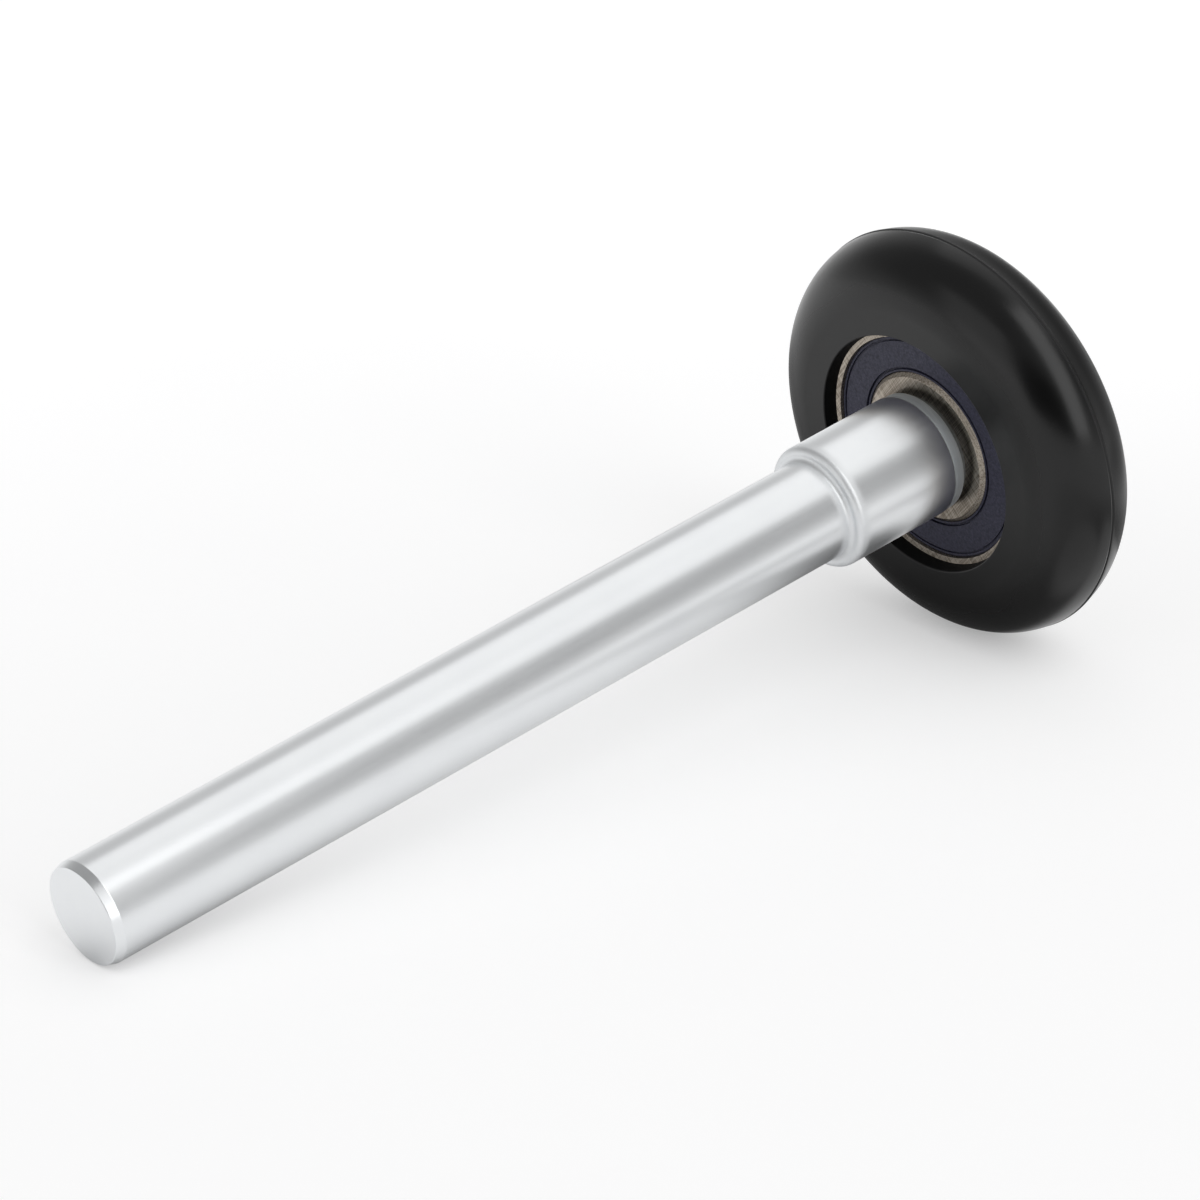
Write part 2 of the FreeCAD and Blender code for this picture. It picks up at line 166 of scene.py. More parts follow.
forged = add(tree, "ShaderNodeMapRange", {"Value": off_shoulder.outputs[0], "From Min": FORGED_REACH * MM,
                                          "From Max": FORGED_END * MM, "To Min": FORGED_ROUGHER,
                                          "To Max": 0.0}, interpolation_type="SMOOTHSTEP")
rough = add(tree, "ShaderNodeMath", {0: rough.outputs[0], 1: forged.outputs[0]})
bump = add(tree, "ShaderNodeBump", {"Height": speckle.outputs["Fac"], "Distance": 0.0002 * MM})
add(tree, shader, {"Base Color": colour.outputs[2], "Metallic": 1.0, "Roughness": rough.outputs[0],
                   "Normal": bump.outputs[0]})

# The same zinc on the turned band, whose fine lathe lines scatter the light. It gives the eye a pale matt
# ring that hardly mirrors the bearing beside it.
matt_zinc, tree, shader, place = start_finish("zinc_plated_turned_steel")
stretch = LATHE_WIDTH / LATHE_LENGTH
lathed = add(tree, "ShaderNodeVectorMath", {0: place, 1: (stretch, 1, stretch)}, operation="MULTIPLY")
lathe = add(tree, "ShaderNodeTexNoise", {"Vector": lathed.outputs[0], "Scale": 1 / (LATHE_WIDTH * MM),
                                         "Detail": 2.0})
colour = add(tree, "ShaderNodeMix", {0: lathe.outputs["Fac"], 6: linear(BAND_GREY), 7: linear(BAND_LIGHT)},
             data_type="RGBA")
rough = add(tree, "ShaderNodeMapRange", {"Value": lathe.outputs["Fac"], "To Min": 0.5, "To Max": 0.62})
bump = add(tree, "ShaderNodeBump", {"Height": lathe.outputs["Fac"], "Distance": 0.006 * MM})
add(tree, shader, {"Base Color": colour.outputs[2], "Metallic": 0.75, "Roughness": rough.outputs[0],
                   "Normal": bump.outputs[0]})

# The zinc is thin and dull in the gap between the collar and the bearing, which plating hardly reaches, and
# it is darkened further there as painted shade of that recess. It gives the eye a dark neck, which the ring
# beside it mirrors.
neck_zinc_painted_shade, tree, shader, place = start_finish("thin_zinc_plated_steel_with_painted_shade")
patchy = add(tree, "ShaderNodeTexNoise", {"Vector": place, "Scale": 1 / (ZINC_SPECKLE * MM), "Detail": 2.0})
colour = add(tree, "ShaderNodeMix", {0: patchy.outputs["Fac"], 6: linear(NECK_SHADE_DARK), 7: linear(NECK_SHADE_GREY)},
             data_type="RGBA")
rough = add(tree, "ShaderNodeMapRange", {"Value": patchy.outputs["Fac"], "To Min": 0.45, "To Max": 0.6})
bump = add(tree, "ShaderNodeBump", {"Height": patchy.outputs["Fac"], "Distance": 0.002 * MM})
add(tree, shader, {"Base Color": colour.outputs[2], "Metallic": 1.0, "Roughness": rough.outputs[0],
                   "Normal": bump.outputs[0]})

stem = turn_piece("stem", [
    (0, TIP_PLACE, 0),
    (STEM_RADIUS - TIP_BEVEL_DEPTH, TIP_PLACE, 0.1),
    (STEM_RADIUS, TIP_PLACE + TIP_BEVEL_LENGTH, 0.3),
    (STEM_RADIUS, SHOULDER_PLACE, SHOULDER_HOLLOW),
    (COLLAR_RADIUS, SHOULDER_PLACE, SHOULDER_ROUND),
    (COLLAR_RADIUS, BAND_PLACE, 0.1),
    (BAND_RADIUS - BAND_RISE, BAND_PLACE + BAND_LEAD, 0.03),
    (BAND_RADIUS, BAND_PLACE + BAND_EDGE, 0.12),
    (BAND_RADIUS, COLLAR_END, 0.12),
    (NECK_RADIUS, COLLAR_END, CRISP),
    (NECK_RADIUS, -HALF_WIDTH, CRISP),
    (JOURNAL_RADIUS, -HALF_WIDTH, CRISP),
    (JOURNAL_RADIUS, WASHER_FACE, CRISP),
    (HEAD_RADIUS, WASHER_FACE, 0.1),
    (HEAD_RADIUS, HEAD_EDGE, 0.2),
    (CROWN_RADIUS, CROWN_PLACE, CROWN_ROUND),
    (DIMPLE_RADIUS, HEAD_FACE, 0.3),
    (DIMPLE_FLAT, DIMPLE_FLOOR, 0.3),
    (0, DIMPLE_FLOOR, 0),
], "stem_and_inner_ring")
finishes = (zinc, matt_zinc, neck_zinc_painted_shade)
for finish in finishes:
    stem.data.materials.append(finish)
# The neck and the collar's end face take the darkened zinc: painted shade in the gap by the bearing.
for face in stem.data.polygons:
    if COLLAR_END - NECK_SHADE_EDGE < face.center.y / MM < -HALF_WIDTH:
        face.material_index = finishes.index(neck_zinc_painted_shade)
    elif BAND_PLACE + BAND_LEAD < face.center.y / MM < COLLAR_END:
        face.material_index = finishes.index(matt_zinc)

# Inner ring
# Bearing steel, hardened and ground, pressed on the stem's journal up to the collar. Its bevelled edge runs
# beside the seal's lip, and the groove round its middle carries the balls.
GROUND_TAN, GROUND_BROWN = "BBB2A6", "7C7368"
GRIND_WIDTH, GRIND_LENGTH, GRIND_SPREAD = 0.13, 4.0, 8.0
GRIND_LEANS = (38, -42)
INNER_LAND, INNER_BEVEL = 8.684, 0.45
INNER_FLOOR, INNER_GROOVE_HALF, INNER_GROOVE_ROUND = 5.674, 2.032, 2.4
RING_CORNER = 0.6


def other_half(corners):
    """Gives the mirror image of half a half-section, in the order that carries on round the piece."""
    return [(radius, -place, rounding) for radius, place, rounding in reversed(corners)]


# Bearing steel, faced on a cup wheel, whose marks cross each other, and lightly oiled. It gives the eye a
# warm grey with fans of light that turn round the axle, and crossing scratches, which are drawn twice as
# wide as real ones so that they show.
ground, tree, shader, place = start_finish("ground_bearing_steel")
marks = []
for lean in GRIND_LEANS:
    turned = add(tree, "ShaderNodeVectorRotate", {"Vector": place, "Angle": math.radians(lean)},
                 rotation_type="Y_AXIS")
    drawn_out = add(tree, "ShaderNodeVectorMath",
                    {0: turned.outputs[0], 1: (1, 1, GRIND_WIDTH / GRIND_LENGTH)}, operation="MULTIPLY")
    marks.append(add(tree, "ShaderNodeTexNoise", {"Vector": drawn_out.outputs[0],
                                                  "Scale": 1 / (GRIND_WIDTH * MM), "Detail": 3.0}))
crossed = add(tree, "ShaderNodeMath", {0: marks[0].outputs["Fac"], 1: marks[1].outputs["Fac"]})
stain = add(tree, "ShaderNodeTexNoise", {"Vector": place, "Scale": 1 / (GRIND_SPREAD * MM), "Detail": 4.0})
tone = add(tree, "ShaderNodeMapRange", {"Value": crossed.outputs[0], "From Min": 0.8, "From Max": 1.2})
tone = add(tree, "ShaderNodeMath", {0: tone.outputs[0], 1: stain.outputs["Fac"]})
tone = add(tree, "ShaderNodeMapRange", {"Value": tone.outputs[0], "From Min": 0.5, "From Max": 1.4})
colour = add(tree, "ShaderNodeMix", {0: tone.outputs[0], 6: linear(GROUND_BROWN), 7: linear(GROUND_TAN)},
             data_type="RGBA")
rough = add(tree, "ShaderNodeMapRange", {"Value": crossed.outputs[0], "From Min": 0.6, "From Max": 1.4,
                                         "To Min": 0.32, "To Max": 0.48})
bump = add(tree, "ShaderNodeBump", {"Height": crossed.outputs[0], "Distance": 0.006 * MM})
grain = add(tree, "ShaderNodeTangent", direction_type="RADIAL", axis="Y")
add(tree, shader, {"Base Color": colour.outputs[2], "Metallic": 1.0, "Roughness": rough.outputs[0],
                   "Anisotropic": 0.8, "Tangent": grain.outputs[0], "Normal": bump.outputs[0]})

inner_half = [
    (JOURNAL_RADIUS, RING_CORNER - HALF_WIDTH, 0.2),
    (JOURNAL_RADIUS + RING_CORNER, -HALF_WIDTH, 0.2),
    (INNER_LAND - INNER_BEVEL, -HALF_WIDTH, 0.08),
    (INNER_LAND, INNER_BEVEL - HALF_WIDTH, 0.06),
    (INNER_LAND, -INNER_GROOVE_HALF, CRISP),
]
inner_ring = turn_piece("bearing_inner_ring", [
    *inner_half,
    (INNER_FLOOR, 0, INNER_GROOVE_ROUND),
    *other_half(inner_half),
], "stem_and_inner_ring")
inner_ring.data.materials.append(ground)

# Balls
# Eight balls of lapped bearing steel that roll between the rings. Seals hide them, so the solids themselves
# stay and only take their finish.
BALL_COUNT = 8
BALL_STEEL, BALL_STEEL_DARK = "C9CACB", "B9BBBD"
LAP_MARK = 0.05

# Bearing steel, lapped to a mirror. It gives the eye a clear cold reflection with barely a haze.
lapped, tree, shader, place = start_finish("lapped_bearing_steel")
haze = add(tree, "ShaderNodeTexNoise", {"Vector": place, "Scale": 1 / (LAP_MARK * MM), "Detail": 2.0})
colour = add(tree, "ShaderNodeMix", {0: haze.outputs["Fac"], 6: linear(BALL_STEEL_DARK),
                                     7: linear(BALL_STEEL)}, data_type="RGBA")
rough = add(tree, "ShaderNodeMapRange", {"Value": haze.outputs["Fac"], "To Min": 0.05, "To Max": 0.10})
bump = add(tree, "ShaderNodeBump", {"Height": haze.outputs["Fac"], "Distance": 0.0002 * MM})
add(tree, shader, {"Base Color": colour.outputs[2], "Metallic": 1.0, "Roughness": rough.outputs[0],
                   "Normal": bump.outputs[0]})
for number in range(1, BALL_COUNT + 1):
    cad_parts[f"ball_{number}"].material_slots[0].material = lapped

# Cage, its rivets and the plates in the seals
# Thin steel strip, pressed into the two wavy halves of the cage and into the flat rings that stiffen the
# seals. Small rivets close the cage. All of it is inside the bearing, so the solids stay.
STRIP_LIGHT, STRIP_DARK = "A9ABAC", "94979A"
ROLL_WIDTH, ROLL_LENGTH = 0.12, 4.0

# Cold-rolled strip, pressed and barrel cleaned. It gives the eye a dull even grey with short rolling lines.
pressed, tree, shader, place = start_finish("pressed_steel_strip")
rolled = add(tree, "ShaderNodeVectorMath", {0: place, 1: (ROLL_WIDTH / ROLL_LENGTH, 1, 1)},
             operation="MULTIPLY")
lines = add(tree, "ShaderNodeTexNoise", {"Vector": rolled.outputs[0], "Scale": 1 / (ROLL_WIDTH * MM),
                                         "Detail": 3.0})
colour = add(tree, "ShaderNodeMix", {0: lines.outputs["Fac"], 6: linear(STRIP_DARK),
                                     7: linear(STRIP_LIGHT)}, data_type="RGBA")
rough = add(tree, "ShaderNodeMapRange", {"Value": lines.outputs["Fac"], "To Min": 0.35, "To Max": 0.5})
bump = add(tree, "ShaderNodeBump", {"Height": lines.outputs["Fac"], "Distance": 0.003 * MM})
add(tree, shader, {"Base Color": colour.outputs[2], "Metallic": 1.0, "Roughness": rough.outputs[0],
                   "Normal": bump.outputs[0]})
for name in ("cage_front", "cage_rear", "cage_rivets", "seal_plate_front", "seal_plate_rear"):
    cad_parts[name].material_slots[0].material = pressed

# Outer ring
# Bearing steel like the inner ring, with its groove on the inside. A stepped seat at each end has a small
# undercut that the seal's bead snaps into, and the tyre is moulded round the outside.
SEAL_RIM, SEAL_BEAD = 12.766, 13.016
SEAL_BACK, SEAL_FACE, BEAD_FACE = 3.2, 4.15, 3.75
OUTER_LAND = 11.616
OUTER_FLOOR, OUTER_GROOVE_HALF, OUTER_GROOVE_ROUND = 13.539, 1.793, 2.35
SEAT_BEVEL = 0.1
RING_OUTSIDE = 15.0
outer_half = [
    (OUTER_LAND, -OUTER_GROOVE_HALF, CRISP),
    (OUTER_LAND, -SEAL_BACK, CRISP),
    (SEAL_BEAD, -SEAL_BACK, CRISP),
    (SEAL_BEAD, -BEAD_FACE, CRISP),
    (SEAL_RIM, -BEAD_FACE, CRISP),
    (SEAL_RIM, -SEAL_FACE, CRISP),
    (SEAL_RIM + SEAT_BEVEL, -HALF_WIDTH, 0.04),
    (RING_OUTSIDE - RING_CORNER, -HALF_WIDTH, 0.2),
    (RING_OUTSIDE, RING_CORNER - HALF_WIDTH, 0.2),
]
outer_ring = turn_piece("bearing_outer_ring", [
    (OUTER_FLOOR, 0, OUTER_GROOVE_ROUND),
    *outer_half,
    *other_half(outer_half),
], "wheel")
outer_ring.data.materials.append(ground)

# Seals
# Nitrile rubber moulded over a steel plate, one at each end. Each is snapped into the outer ring, and its
# lip runs on the inner ring. A groove beside the lip lets it flex, and a finer one follows the rim.
LIP = INNER_LAND + 0.05
LIP_GROOVE_IN, LIP_GROOVE_OUT, LIP_GROOVE_DEPTH = LIP + 0.25, LIP + 0.5, 0.35
RIM_GROOVE_IN, RIM_GROOVE_OUT, RIM_GROOVE_DEPTH = SEAL_RIM - 0.5, SEAL_RIM - 0.3, 0.25
RUBBER_NAVY, RUBBER_DARK = "3C3C53", "262638"
LEATHER_GRAIN = 0.26
FINE_GRAIN = 0.6 * LEATHER_GRAIN
PLATE_FACE, PLATE_INSIDE, PLATE_OUTSIDE = 3.5, 9.184, 12.566
front_seal = [
    (LIP, -SEAL_BACK, CRISP),
    (LIP, -SEAL_FACE, 0.08),
    (LIP_GROOVE_IN, -SEAL_FACE, 0.08),
    (LIP_GROOVE_IN, LIP_GROOVE_DEPTH - SEAL_FACE, CRISP),
    (LIP_GROOVE_OUT, LIP_GROOVE_DEPTH - SEAL_FACE, CRISP),
    (LIP_GROOVE_OUT, -SEAL_FACE, 0.07),
    (RIM_GROOVE_IN, -SEAL_FACE, CRISP),
    (RIM_GROOVE_IN, RIM_GROOVE_DEPTH - SEAL_FACE, 0.04),
    (RIM_GROOVE_OUT, RIM_GROOVE_DEPTH - SEAL_FACE, 0.04),
    (RIM_GROOVE_OUT, -SEAL_FACE, CRISP),
    (SEAL_RIM, -SEAL_FACE, 0.1),
    (SEAL_RIM, -BEAD_FACE, 0.03),
    (SEAL_BEAD, -BEAD_FACE, 0.08),
    (SEAL_BEAD, -SEAL_BACK, 0.08),
    (PLATE_OUTSIDE, -SEAL_BACK, 0.03),
    (PLATE_OUTSIDE, -PLATE_FACE, 0.03),
    (PLATE_INSIDE, -PLATE_FACE, 0.03),
    (PLATE_INSIDE, -SEAL_BACK, 0.03),
]

# Nitrile rubber moulded in an etched tool. It gives the eye a dull blue-black with a fine leathery grain.
# The grain is drawn a little coarser than a real one, which would not show.
rubber, tree, shader, place = start_finish("moulded_nitrile_rubber")
cells = add(tree, "ShaderNodeTexVoronoi", {"Vector": place, "Scale": 1 / (LEATHER_GRAIN * MM)},
            feature="SMOOTH_F1")
soft = add(tree, "ShaderNodeTexNoise", {"Vector": place, "Scale": 1 / (FINE_GRAIN * MM), "Detail": 3.0})
leather = add(tree, "ShaderNodeMath", {0: soft.outputs["Fac"], 1: cells.outputs["Distance"]},
              operation="SUBTRACT")
tone = add(tree, "ShaderNodeMapRange", {"Value": leather.outputs[0], "From Min": -0.3, "From Max": 0.5})
colour = add(tree, "ShaderNodeMix", {0: tone.outputs[0], 6: linear(RUBBER_DARK), 7: linear(RUBBER_NAVY)},
             data_type="RGBA")
rough = add(tree, "ShaderNodeMapRange", {"Value": tone.outputs[0], "To Min": 0.65, "To Max": 0.5})
bump = add(tree, "ShaderNodeBump", {"Height": leather.outputs[0], "Distance": 0.03 * MM})
add(tree, shader, {"Base Color": colour.outputs[2], "IOR": 1.52, "Roughness": rough.outputs[0],
                   "Normal": bump.outputs[0]})
for name, section in (("seal_front", front_seal), ("seal_rear", other_half(front_seal))):
    seal = turn_piece(name, section, "wheel")
    seal.data.materials.append(rubber)

# Washer
# A steel washer on the journal's far end. It keeps the riveted head off the hard ring, and it is plated in
# the same bath as the stem.
WASHER_RADIUS = 7.984
washer = turn_piece("rear_washer", [
    (JOURNAL_RADIUS, HALF_WIDTH, CRISP),
    (WASHER_RADIUS, HALF_WIDTH, 0.15),
    (WASHER_RADIUS, WASHER_FACE, 0.25),
    (JOURNAL_RADIUS, WASHER_FACE, CRISP),
], "stem_and_inner_ring")
washer.data.materials.append(zinc)

# Tyre
# Nylon moulded round the outer ring, which it grips with a lip at each end. Two round flanks meet in a low
# ridge where the mould's halves parted, and the mouth round the bearing flares a little.
NYLON_BLACK, NYLON_GREY, MOUTH_SHADE_BLACK = "0D0D0D", "131313", "070707"
NYLON_FLOW, NYLON_SKIN, SPARK_PIT = 9.0, 0.35, 0.18
HAZE_START, HAZE_END = 17.0, 20.0
MOUTH, MOUTH_FLARE, MOUTH_EDGE = 13.7, 0.25, 0.02
TYRE_FACE = 6.2
FLANK_RADIUS, FLANK_ROUND = 22.475, 6.7
CREST_RADIUS, PARTING_RADIUS, PARTING_FLOOR = 23.2, 23.286, 23.13
PARTING_PLACE, PARTING_HALF, PARTING_GROOVE, PARTING_SLOPE = 0.22, 0.12, 0.06, 0.16
tyre_half = [
    (RING_OUTSIDE, RING_CORNER - HALF_WIDTH, 0.1),
    (RING_OUTSIDE - RING_CORNER, -HALF_WIDTH, 0.1),
    (MOUTH - MOUTH_FLARE, -HALF_WIDTH, 0.1),
    (MOUTH, -TYRE_FACE, 0.15),
    (FLANK_RADIUS, -TYRE_FACE, FLANK_ROUND),
]
parting = [
    (CREST_RADIUS, PARTING_PLACE - PARTING_HALF - PARTING_GROOVE - PARTING_SLOPE, 0.03),
    (PARTING_FLOOR, PARTING_PLACE - PARTING_HALF - PARTING_GROOVE, 0.02),
    (PARTING_RADIUS, PARTING_PLACE - PARTING_HALF, 0.07),
    (PARTING_RADIUS, PARTING_PLACE + PARTING_HALF, 0.07),
    (CREST_RADIUS, PARTING_PLACE + PARTING_HALF + PARTING_GROOVE, 0.02),
]

# Glass-free nylon, moulded in a polished tool. It gives the eye a deep satin black with soft broad
# reflections and a faint flow haze, a little duller on the side faces round the mouth.
nylon, tree, shader, place = start_finish("moulded_black_nylon")
flow = add(tree, "ShaderNodeTexNoise", {"Vector": place, "Scale": 1 / (NYLON_FLOW * MM), "Detail": 4.0})
skin = add(tree, "ShaderNodeTexNoise", {"Vector": place, "Scale": 1 / (NYLON_SKIN * MM), "Detail": 3.0})
colour = add(tree, "ShaderNodeMix", {0: flow.outputs["Fac"], 6: linear(NYLON_BLACK), 7: linear(NYLON_GREY)},
             data_type="RGBA")
rough = add(tree, "ShaderNodeMapRange", {"Value": flow.outputs["Fac"], "From Min": 0.3, "From Max": 0.7,
                                         "To Min": 0.22, "To Max": 0.27})
radial = add(tree, "ShaderNodeVectorMath", {0: place, 1: (1, 0, 1)}, operation="MULTIPLY")
radial = add(tree, "ShaderNodeVectorMath", {0: radial.outputs[0]}, operation="LENGTH")
face_haze = add(tree, "ShaderNodeMapRange", {"Value": radial.outputs["Value"], "From Min": HAZE_START * MM,
                                             "From Max": HAZE_END * MM, "To Min": 0.08, "To Max": 0.0},
                interpolation_type="SMOOTHSTEP")
rough = add(tree, "ShaderNodeMath", {0: rough.outputs[0], 1: face_haze.outputs[0]})
bump = add(tree, "ShaderNodeBump", {"Height": skin.outputs["Fac"], "Distance": 0.002 * MM})
add(tree, shader, {"Base Color": colour.outputs[2], "IOR": 1.42, "Roughness": rough.outputs[0],
                   "Normal": bump.outputs[0]})
tyre = turn_piece("tyre", [
    *tyre_half,
    *parting,
    *other_half(tyre_half),
], "wheel")

# The same nylon in the mouth, off the mould's sparked core, so rougher, and made darker with a weak
# reflection as painted shade of the recess. It gives the eye a flat black wall that hardly mirrors the
# bright ring beside it.
mouth_nylon_painted_shade, tree, shader, place = start_finish("black_nylon_with_painted_shade_in_the_mouth")
sparked = add(tree, "ShaderNodeTexNoise", {"Vector": place, "Scale": 1 / (SPARK_PIT * MM), "Detail": 3.0})
colour = add(tree, "ShaderNodeMix", {0: sparked.outputs["Fac"], 6: linear(MOUTH_SHADE_BLACK),
                                     7: linear(NYLON_BLACK)}, data_type="RGBA")
rough = add(tree, "ShaderNodeMapRange", {"Value": sparked.outputs["Fac"], "To Min": 0.6, "To Max": 0.75})
bump = add(tree, "ShaderNodeBump", {"Height": sparked.outputs["Fac"], "Distance": 0.01 * MM})
add(tree, shader, {"Base Color": colour.outputs[2], "IOR": 1.42, "Specular IOR Level": 0.2,
                   "Roughness": rough.outputs[0], "Normal": bump.outputs[0]})
finishes = (nylon, mouth_nylon_painted_shade)
for finish in finishes:
    tyre.data.materials.append(finish)
# The mouth's wall takes the darker nylon: painted shade in the recess round the bearing.
for face in tyre.data.polygons:
    if math.hypot(face.center.x, face.center.z) < (MOUTH - MOUTH_EDGE) * MM:
        face.material_index = finishes.index(mouth_nylon_painted_shade)
# The collar of the photograph mirrors the bearing beside it but no tyre, so mirrors leave the tyre out.
tyre.visible_glossy = False

# Table
# The roller lies on a white table, on the tyre's parting ridge and the stem's tip, so the table is tilted
# in the roller's own frame. A plain lift in view brings it near white and leaves the soft shadow. Mirrors
# show it greyer or brighter at the places where the photograph's plating and tyre do.
TABLE_NORMAL = Vector((0, 0.1517, 0.9884)).normalized()
TABLE_DROP, TABLE_HALF = -23.034, 900.0
TABLE_WHITE, TABLE_GREY, TABLE_MOTTLE = "CCCCCC", "C9C9CA", 40.0
LIFT_FROM, LIFT_START, LIFT_END = Vector((80, -100, -12)) * MM, 120.0, 260.0
NEAR_LIFT, FAR_LIFT = 0.54, 0.62
FADE_START, FADE_END = 350.0, 850.0
SHADOW_REACH, SHADOW_SAMPLES = 45.0, 6
AIM = Vector((0, -40, -12)) * MM
table_across = Vector((1, 0, 0))
table_along = TABLE_NORMAL.cross(table_across)


def toward(azimuth, elevation):
    """Gives the direction at an azimuth from +X towards +Y along the table, and an elevation above it."""
    a, e = math.radians(azimuth), math.radians(elevation)
    flat = table_across * math.cos(a) + table_along * math.sin(a)
    return flat * math.cos(e) + TABLE_NORMAL * math.sin(e)


def ray_kinds(tree):
    """Gives whether a ray comes from the camera, and whether it comes off a mirror or through glass."""
    ray = add(tree, "ShaderNodeLightPath")
    glossy = add(tree, "ShaderNodeMath", {0: ray.outputs["Is Glossy Ray"],
                                          1: ray.outputs["Is Transmission Ray"]}, use_clamp=True)
    return ray.outputs["Is Camera Ray"], glossy.outputs[0]


table_mesh = bpy.data.meshes.new("table")
table_mesh.from_pydata([
    (TABLE_NORMAL * TABLE_DROP + (table_across * x + table_along * y) * TABLE_HALF) * MM
    for x, y in ((-1, -1), (1, -1), (1, 1), (-1, 1))], [], [(0, 1, 2, 3)])
table = bpy.data.objects.new("table", table_mesh)
bpy.context.collection.objects.link(table)
paint = bpy.data.materials.new("white_table_paint")
paint.use_nodes = True
tree = paint.node_tree
tree.nodes.clear()
place = add(tree, "ShaderNodeTexCoord").outputs["Object"]
camera_ray, glossy_ray = ray_kinds(tree)
# Painted contact shade: where the roller is near, the table's glow dims in view, and its colour and glow
# dim more in mirrors.
nearby = add(tree, "ShaderNodeAmbientOcclusion", {"Distance": SHADOW_REACH * MM}, samples=SHADOW_SAMPLES)
in_mirror = add(tree, "ShaderNodeMapRange", {"Value": nearby.outputs["AO"], "From Min": 0.3,
                                             "From Max": 0.75, "To Min": 0.35, "To Max": 1.0})
# Painted shade and painted light that mirrors alone see on the table, as soft patches: centre and
# half-widths, where each starts and ends to fade out as a share of those, its strength inside and outside,
# and how it joins the rest. Three are patches of painted shade, two of painted light.
for centre, halves, start, end, inside, outside, joint in (
    ((-20, 14), (80, 34), 0.7, 1.3, 0.35, 1.0, "MULTIPLY"),
    ((48, -18), (36, 36), 0.389, 1.0, 0.75, 1.0, "MULTIPLY"),
    ((10, 290), (150, 260), 0.7, 1.1, 0.35, 1.0, "MULTIPLY"),
    ((8, 12), (42, 13), 0.8, 1.2, 1.0, 0.0, "MAXIMUM"),
    ((33, -8), (15, 12), 0.7, 1.3, 0.9, 0.0, "MAXIMUM"),
):
    off = add(tree, "ShaderNodeVectorMath", {0: place, 1: Vector((*centre, 0)) * MM}, operation="SUBTRACT")
    off = add(tree, "ShaderNodeVectorMath",
              {0: off.outputs[0], 1: (1 / (halves[0] * MM), 1 / (halves[1] * MM), 0)}, operation="MULTIPLY")
    off = add(tree, "ShaderNodeVectorMath", {0: off.outputs[0]}, operation="LENGTH")
    patch = add(tree, "ShaderNodeMapRange", {"Value": off.outputs["Value"], "From Min": start,
                                             "From Max": end, "To Min": inside, "To Max": outside},
                interpolation_type="SMOOTHSTEP")
    in_mirror = add(tree, "ShaderNodeMath", {0: in_mirror.outputs[0], 1: patch.outputs[0]}, operation=joint)
# The painted contact shade as the camera sees it, lighter than in mirrors.
in_view = add(tree, "ShaderNodeMapRange", {"Value": nearby.outputs["AO"], "From Max": 0.5,
                                           "To Min": 0.6, "To Max": 1.0}, interpolation_type="SMOOTHSTEP")
shade = add(tree, "ShaderNodeMix", {0: glossy_ray, 2: 1.0, 3: in_mirror.outputs[0]})
seen = add(tree, "ShaderNodeMath", {0: glossy_ray, 1: in_mirror.outputs[0]}, operation="MULTIPLY")
seen = add(tree, "ShaderNodeMath", {0: in_view.outputs[0], 1: camera_ray, 2: seen.outputs[0]},
           operation="MULTIPLY_ADD", use_clamp=True)
further = add(tree, "ShaderNodeVectorMath", {0: place, 1: LIFT_FROM}, operation="DISTANCE")
rise = add(tree, "ShaderNodeMapRange", {"Value": further.outputs["Value"], "From Min": LIFT_START * MM,
                                        "From Max": LIFT_END * MM, "To Min": NEAR_LIFT, "To Max": FAR_LIFT})
lift = add(tree, "ShaderNodeMath", {0: seen.outputs[0], 1: rise.outputs[0]}, operation="MULTIPLY")
mottle = add(tree, "ShaderNodeTexNoise", {"Vector": place, "Scale": 1 / (TABLE_MOTTLE * MM)})
white = add(tree, "ShaderNodeMix", {0: mottle.outputs["Fac"], 6: linear(TABLE_GREY),
                                    7: linear(TABLE_WHITE)}, data_type="RGBA")
white = add(tree, "ShaderNodeVectorMath", {0: white.outputs[2], "Scale": shade.outputs[0]},
            operation="SCALE")
matt = add(tree, "ShaderNodeBsdfDiffuse", {"Color": white.outputs[0]})
glow = add(tree, "ShaderNodeEmission", {"Strength": lift.outputs[0]})
lit = add(tree, "ShaderNodeAddShader", {0: matt.outputs[0], 1: glow.outputs[0]})
reach = add(tree, "ShaderNodeVectorMath", {0: place, 1: AIM}, operation="DISTANCE")
fade = add(tree, "ShaderNodeMapRange", {"Value": reach.outputs["Value"], "From Min": FADE_START * MM,
                                        "From Max": FADE_END * MM}, interpolation_type="SMOOTHERSTEP")
under = add(tree, "ShaderNodeNewGeometry")
gone = add(tree, "ShaderNodeMath", {0: fade.outputs[0], 1: under.outputs["Backfacing"]},
           operation="MAXIMUM")
clear = add(tree, "ShaderNodeBsdfTransparent")
cover = add(tree, "ShaderNodeMixShader", {0: gone.outputs[0], 1: lit.outputs[0], 2: clear.outputs[0]})
add(tree, "ShaderNodeOutputMaterial", {"Surface": cover.outputs[0]})
table_mesh.materials.append(paint)

# Studio
# A softbox stands at each side of the camera and a third hangs overhead, in a pale room that is dark
# behind the camera and, in mirrors alone, dimmer low behind the wheel. The camera has a long lens and
# looks down.
CAMERA_PLACE = Vector((355.974, -324.763, 266.83)) * MM
CAMERA_RIGHT = Vector((0.65807, 0.74424, -0.1142))
CAMERA_UP = Vector((-0.31645, 0.411, 0.85495))
CAMERA_LENS = 153.98
SOFTBOX_REACH = 4.8
ROOM_FILL, SWEEP_LIGHT, FLOOR_LIGHT = 0.36, 0.34, 0.95
HORIZON, SWEEP_TOP = 0.02, 0.4

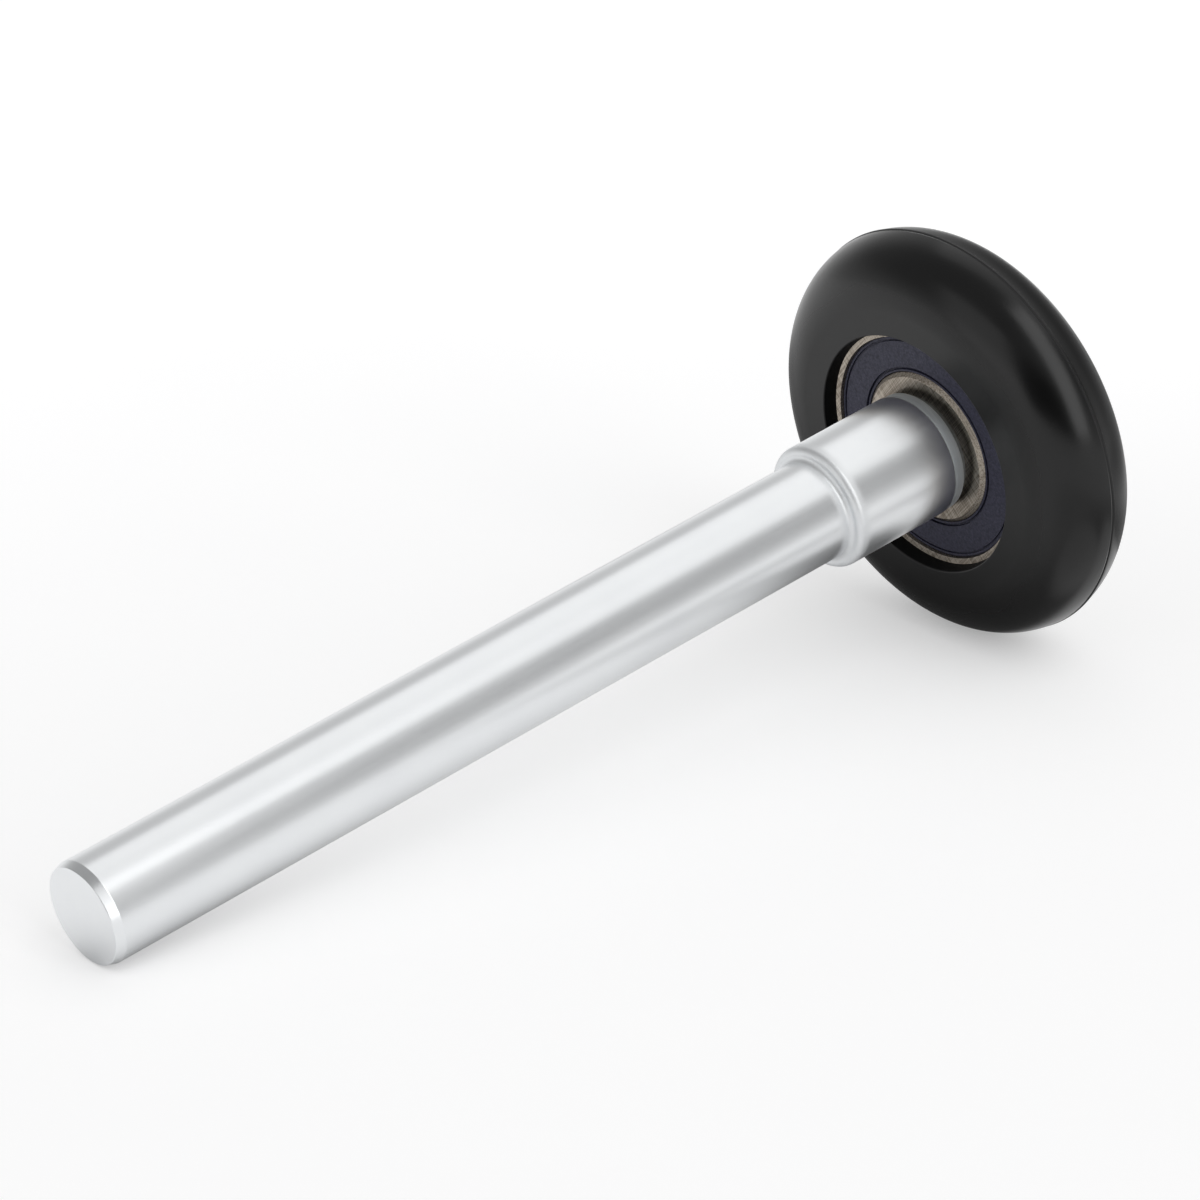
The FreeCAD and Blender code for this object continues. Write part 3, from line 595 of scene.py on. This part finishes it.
# Each softbox has an azimuth and an elevation in degrees, a width and a height in metres, and a radiance.
for name, azimuth, elevation, width, height, radiance in (
    ("right_softbox", -1, 40, 2.2, 6.8, 2.0),
    ("left_softbox", -93, 22, 3.6, 3.8, 0.6),
    ("top_softbox", 97, 67, 6.6, 3.6, 0.55),
):
    lamp = bpy.data.lights.new(name, "AREA")
    lamp.shape = "RECTANGLE"
    lamp.size, lamp.size_y = width, height
    lamp.energy = radiance * math.pi * width * height
    box = bpy.data.objects.new(name, lamp)
    bpy.context.collection.objects.link(box)
    out = toward(azimuth, elevation)
    sideways = TABLE_NORMAL.cross(out).normalized()
    box.matrix_world = Matrix.LocRotScale(
        AIM + out * SOFTBOX_REACH, Matrix((sideways, out.cross(sideways), out)).transposed(), None)
    box.visible_camera = False

world = bpy.data.worlds.new("pale_room")
bpy.context.scene.world = world
world.use_nodes = True
tree = world.node_tree
tree.nodes.clear()
camera_ray, glossy_ray = ray_kinds(tree)
way = add(tree, "ShaderNodeTexCoord").outputs["Generated"]
# The room's strength towards a few directions: azimuth and elevation, the angles off it in degrees at which
# the change starts and is complete, and the strength beyond the first and within the second.
strengths = []
for azimuth, elevation, outer, inner, beyond, within in (
    (-44, 6, 33, 21, 1.0, 0.0),
    (110, 10, 78.463, 45.573, 0.3, 0.6),
    (100, 2, 45, 25, 1.0, 0.35),
):
    facing = add(tree, "ShaderNodeVectorMath", {0: way, 1: toward(azimuth, elevation)},
                 operation="DOT_PRODUCT")
    strengths.append(add(tree, "ShaderNodeMapRange", {
        "Value": facing.outputs["Value"], "From Min": math.cos(math.radians(outer)),
        "From Max": math.cos(math.radians(inner)), "To Min": beyond, "To Max": within},
        interpolation_type="SMOOTHSTEP").outputs[0])
behind_camera, wall, behind_wheel = strengths
height = add(tree, "ShaderNodeVectorMath", {0: way, 1: TABLE_NORMAL}, operation="DOT_PRODUCT")
sweep = add(tree, "ShaderNodeMapRange", {"Value": height.outputs["Value"], "From Min": HORIZON,
                                         "From Max": SWEEP_TOP, "To Min": SWEEP_LIGHT, "To Max": 0.0},
            interpolation_type="SMOOTHSTEP")
mirrored = add(tree, "ShaderNodeMath", {0: wall, 1: sweep.outputs[0]})
mirrored = add(tree, "ShaderNodeMath", {0: mirrored.outputs[0], 1: behind_camera}, operation="MULTIPLY")
below = add(tree, "ShaderNodeMapRange", {"Value": height.outputs["Value"], "From Min": HORIZON,
                                         "From Max": -HORIZON})
mirrored = add(tree, "ShaderNodeMix", {0: below.outputs[0], 2: mirrored.outputs[0], 3: FLOOR_LIGHT})
mirrored = add(tree, "ShaderNodeMath", {0: mirrored.outputs[0], 1: behind_wheel}, operation="MULTIPLY")
ambient = add(tree, "ShaderNodeMath", {0: behind_camera, 1: ROOM_FILL}, operation="MULTIPLY")
level = add(tree, "ShaderNodeMix", {0: glossy_ray, 2: ambient.outputs[0], 3: mirrored.outputs[0]})
room = add(tree, "ShaderNodeBackground", {"Color": (1, 1, 1, 1), "Strength": level.outputs[0]})
backdrop = add(tree, "ShaderNodeBackground", {"Color": (1, 1, 1, 1), "Strength": 1.0})
shown = add(tree, "ShaderNodeMixShader", {0: camera_ray, 1: room.outputs[0], 2: backdrop.outputs[0]})
add(tree, "ShaderNodeOutputWorld", {"Surface": shown.outputs[0]})

camera = bpy.data.objects.new("camera", bpy.data.cameras.new("camera"))
bpy.context.collection.objects.link(camera)
camera.data.lens = CAMERA_LENS
camera.data.clip_start, camera.data.clip_end = 0.01, 10.0
camera.matrix_world = Matrix.LocRotScale(
    CAMERA_PLACE, Matrix((CAMERA_RIGHT, CAMERA_UP, CAMERA_RIGHT.cross(CAMERA_UP))).transposed(), None)
bpy.context.scene.camera = camera
bpy.context.scene.view_settings.view_transform = "Standard"
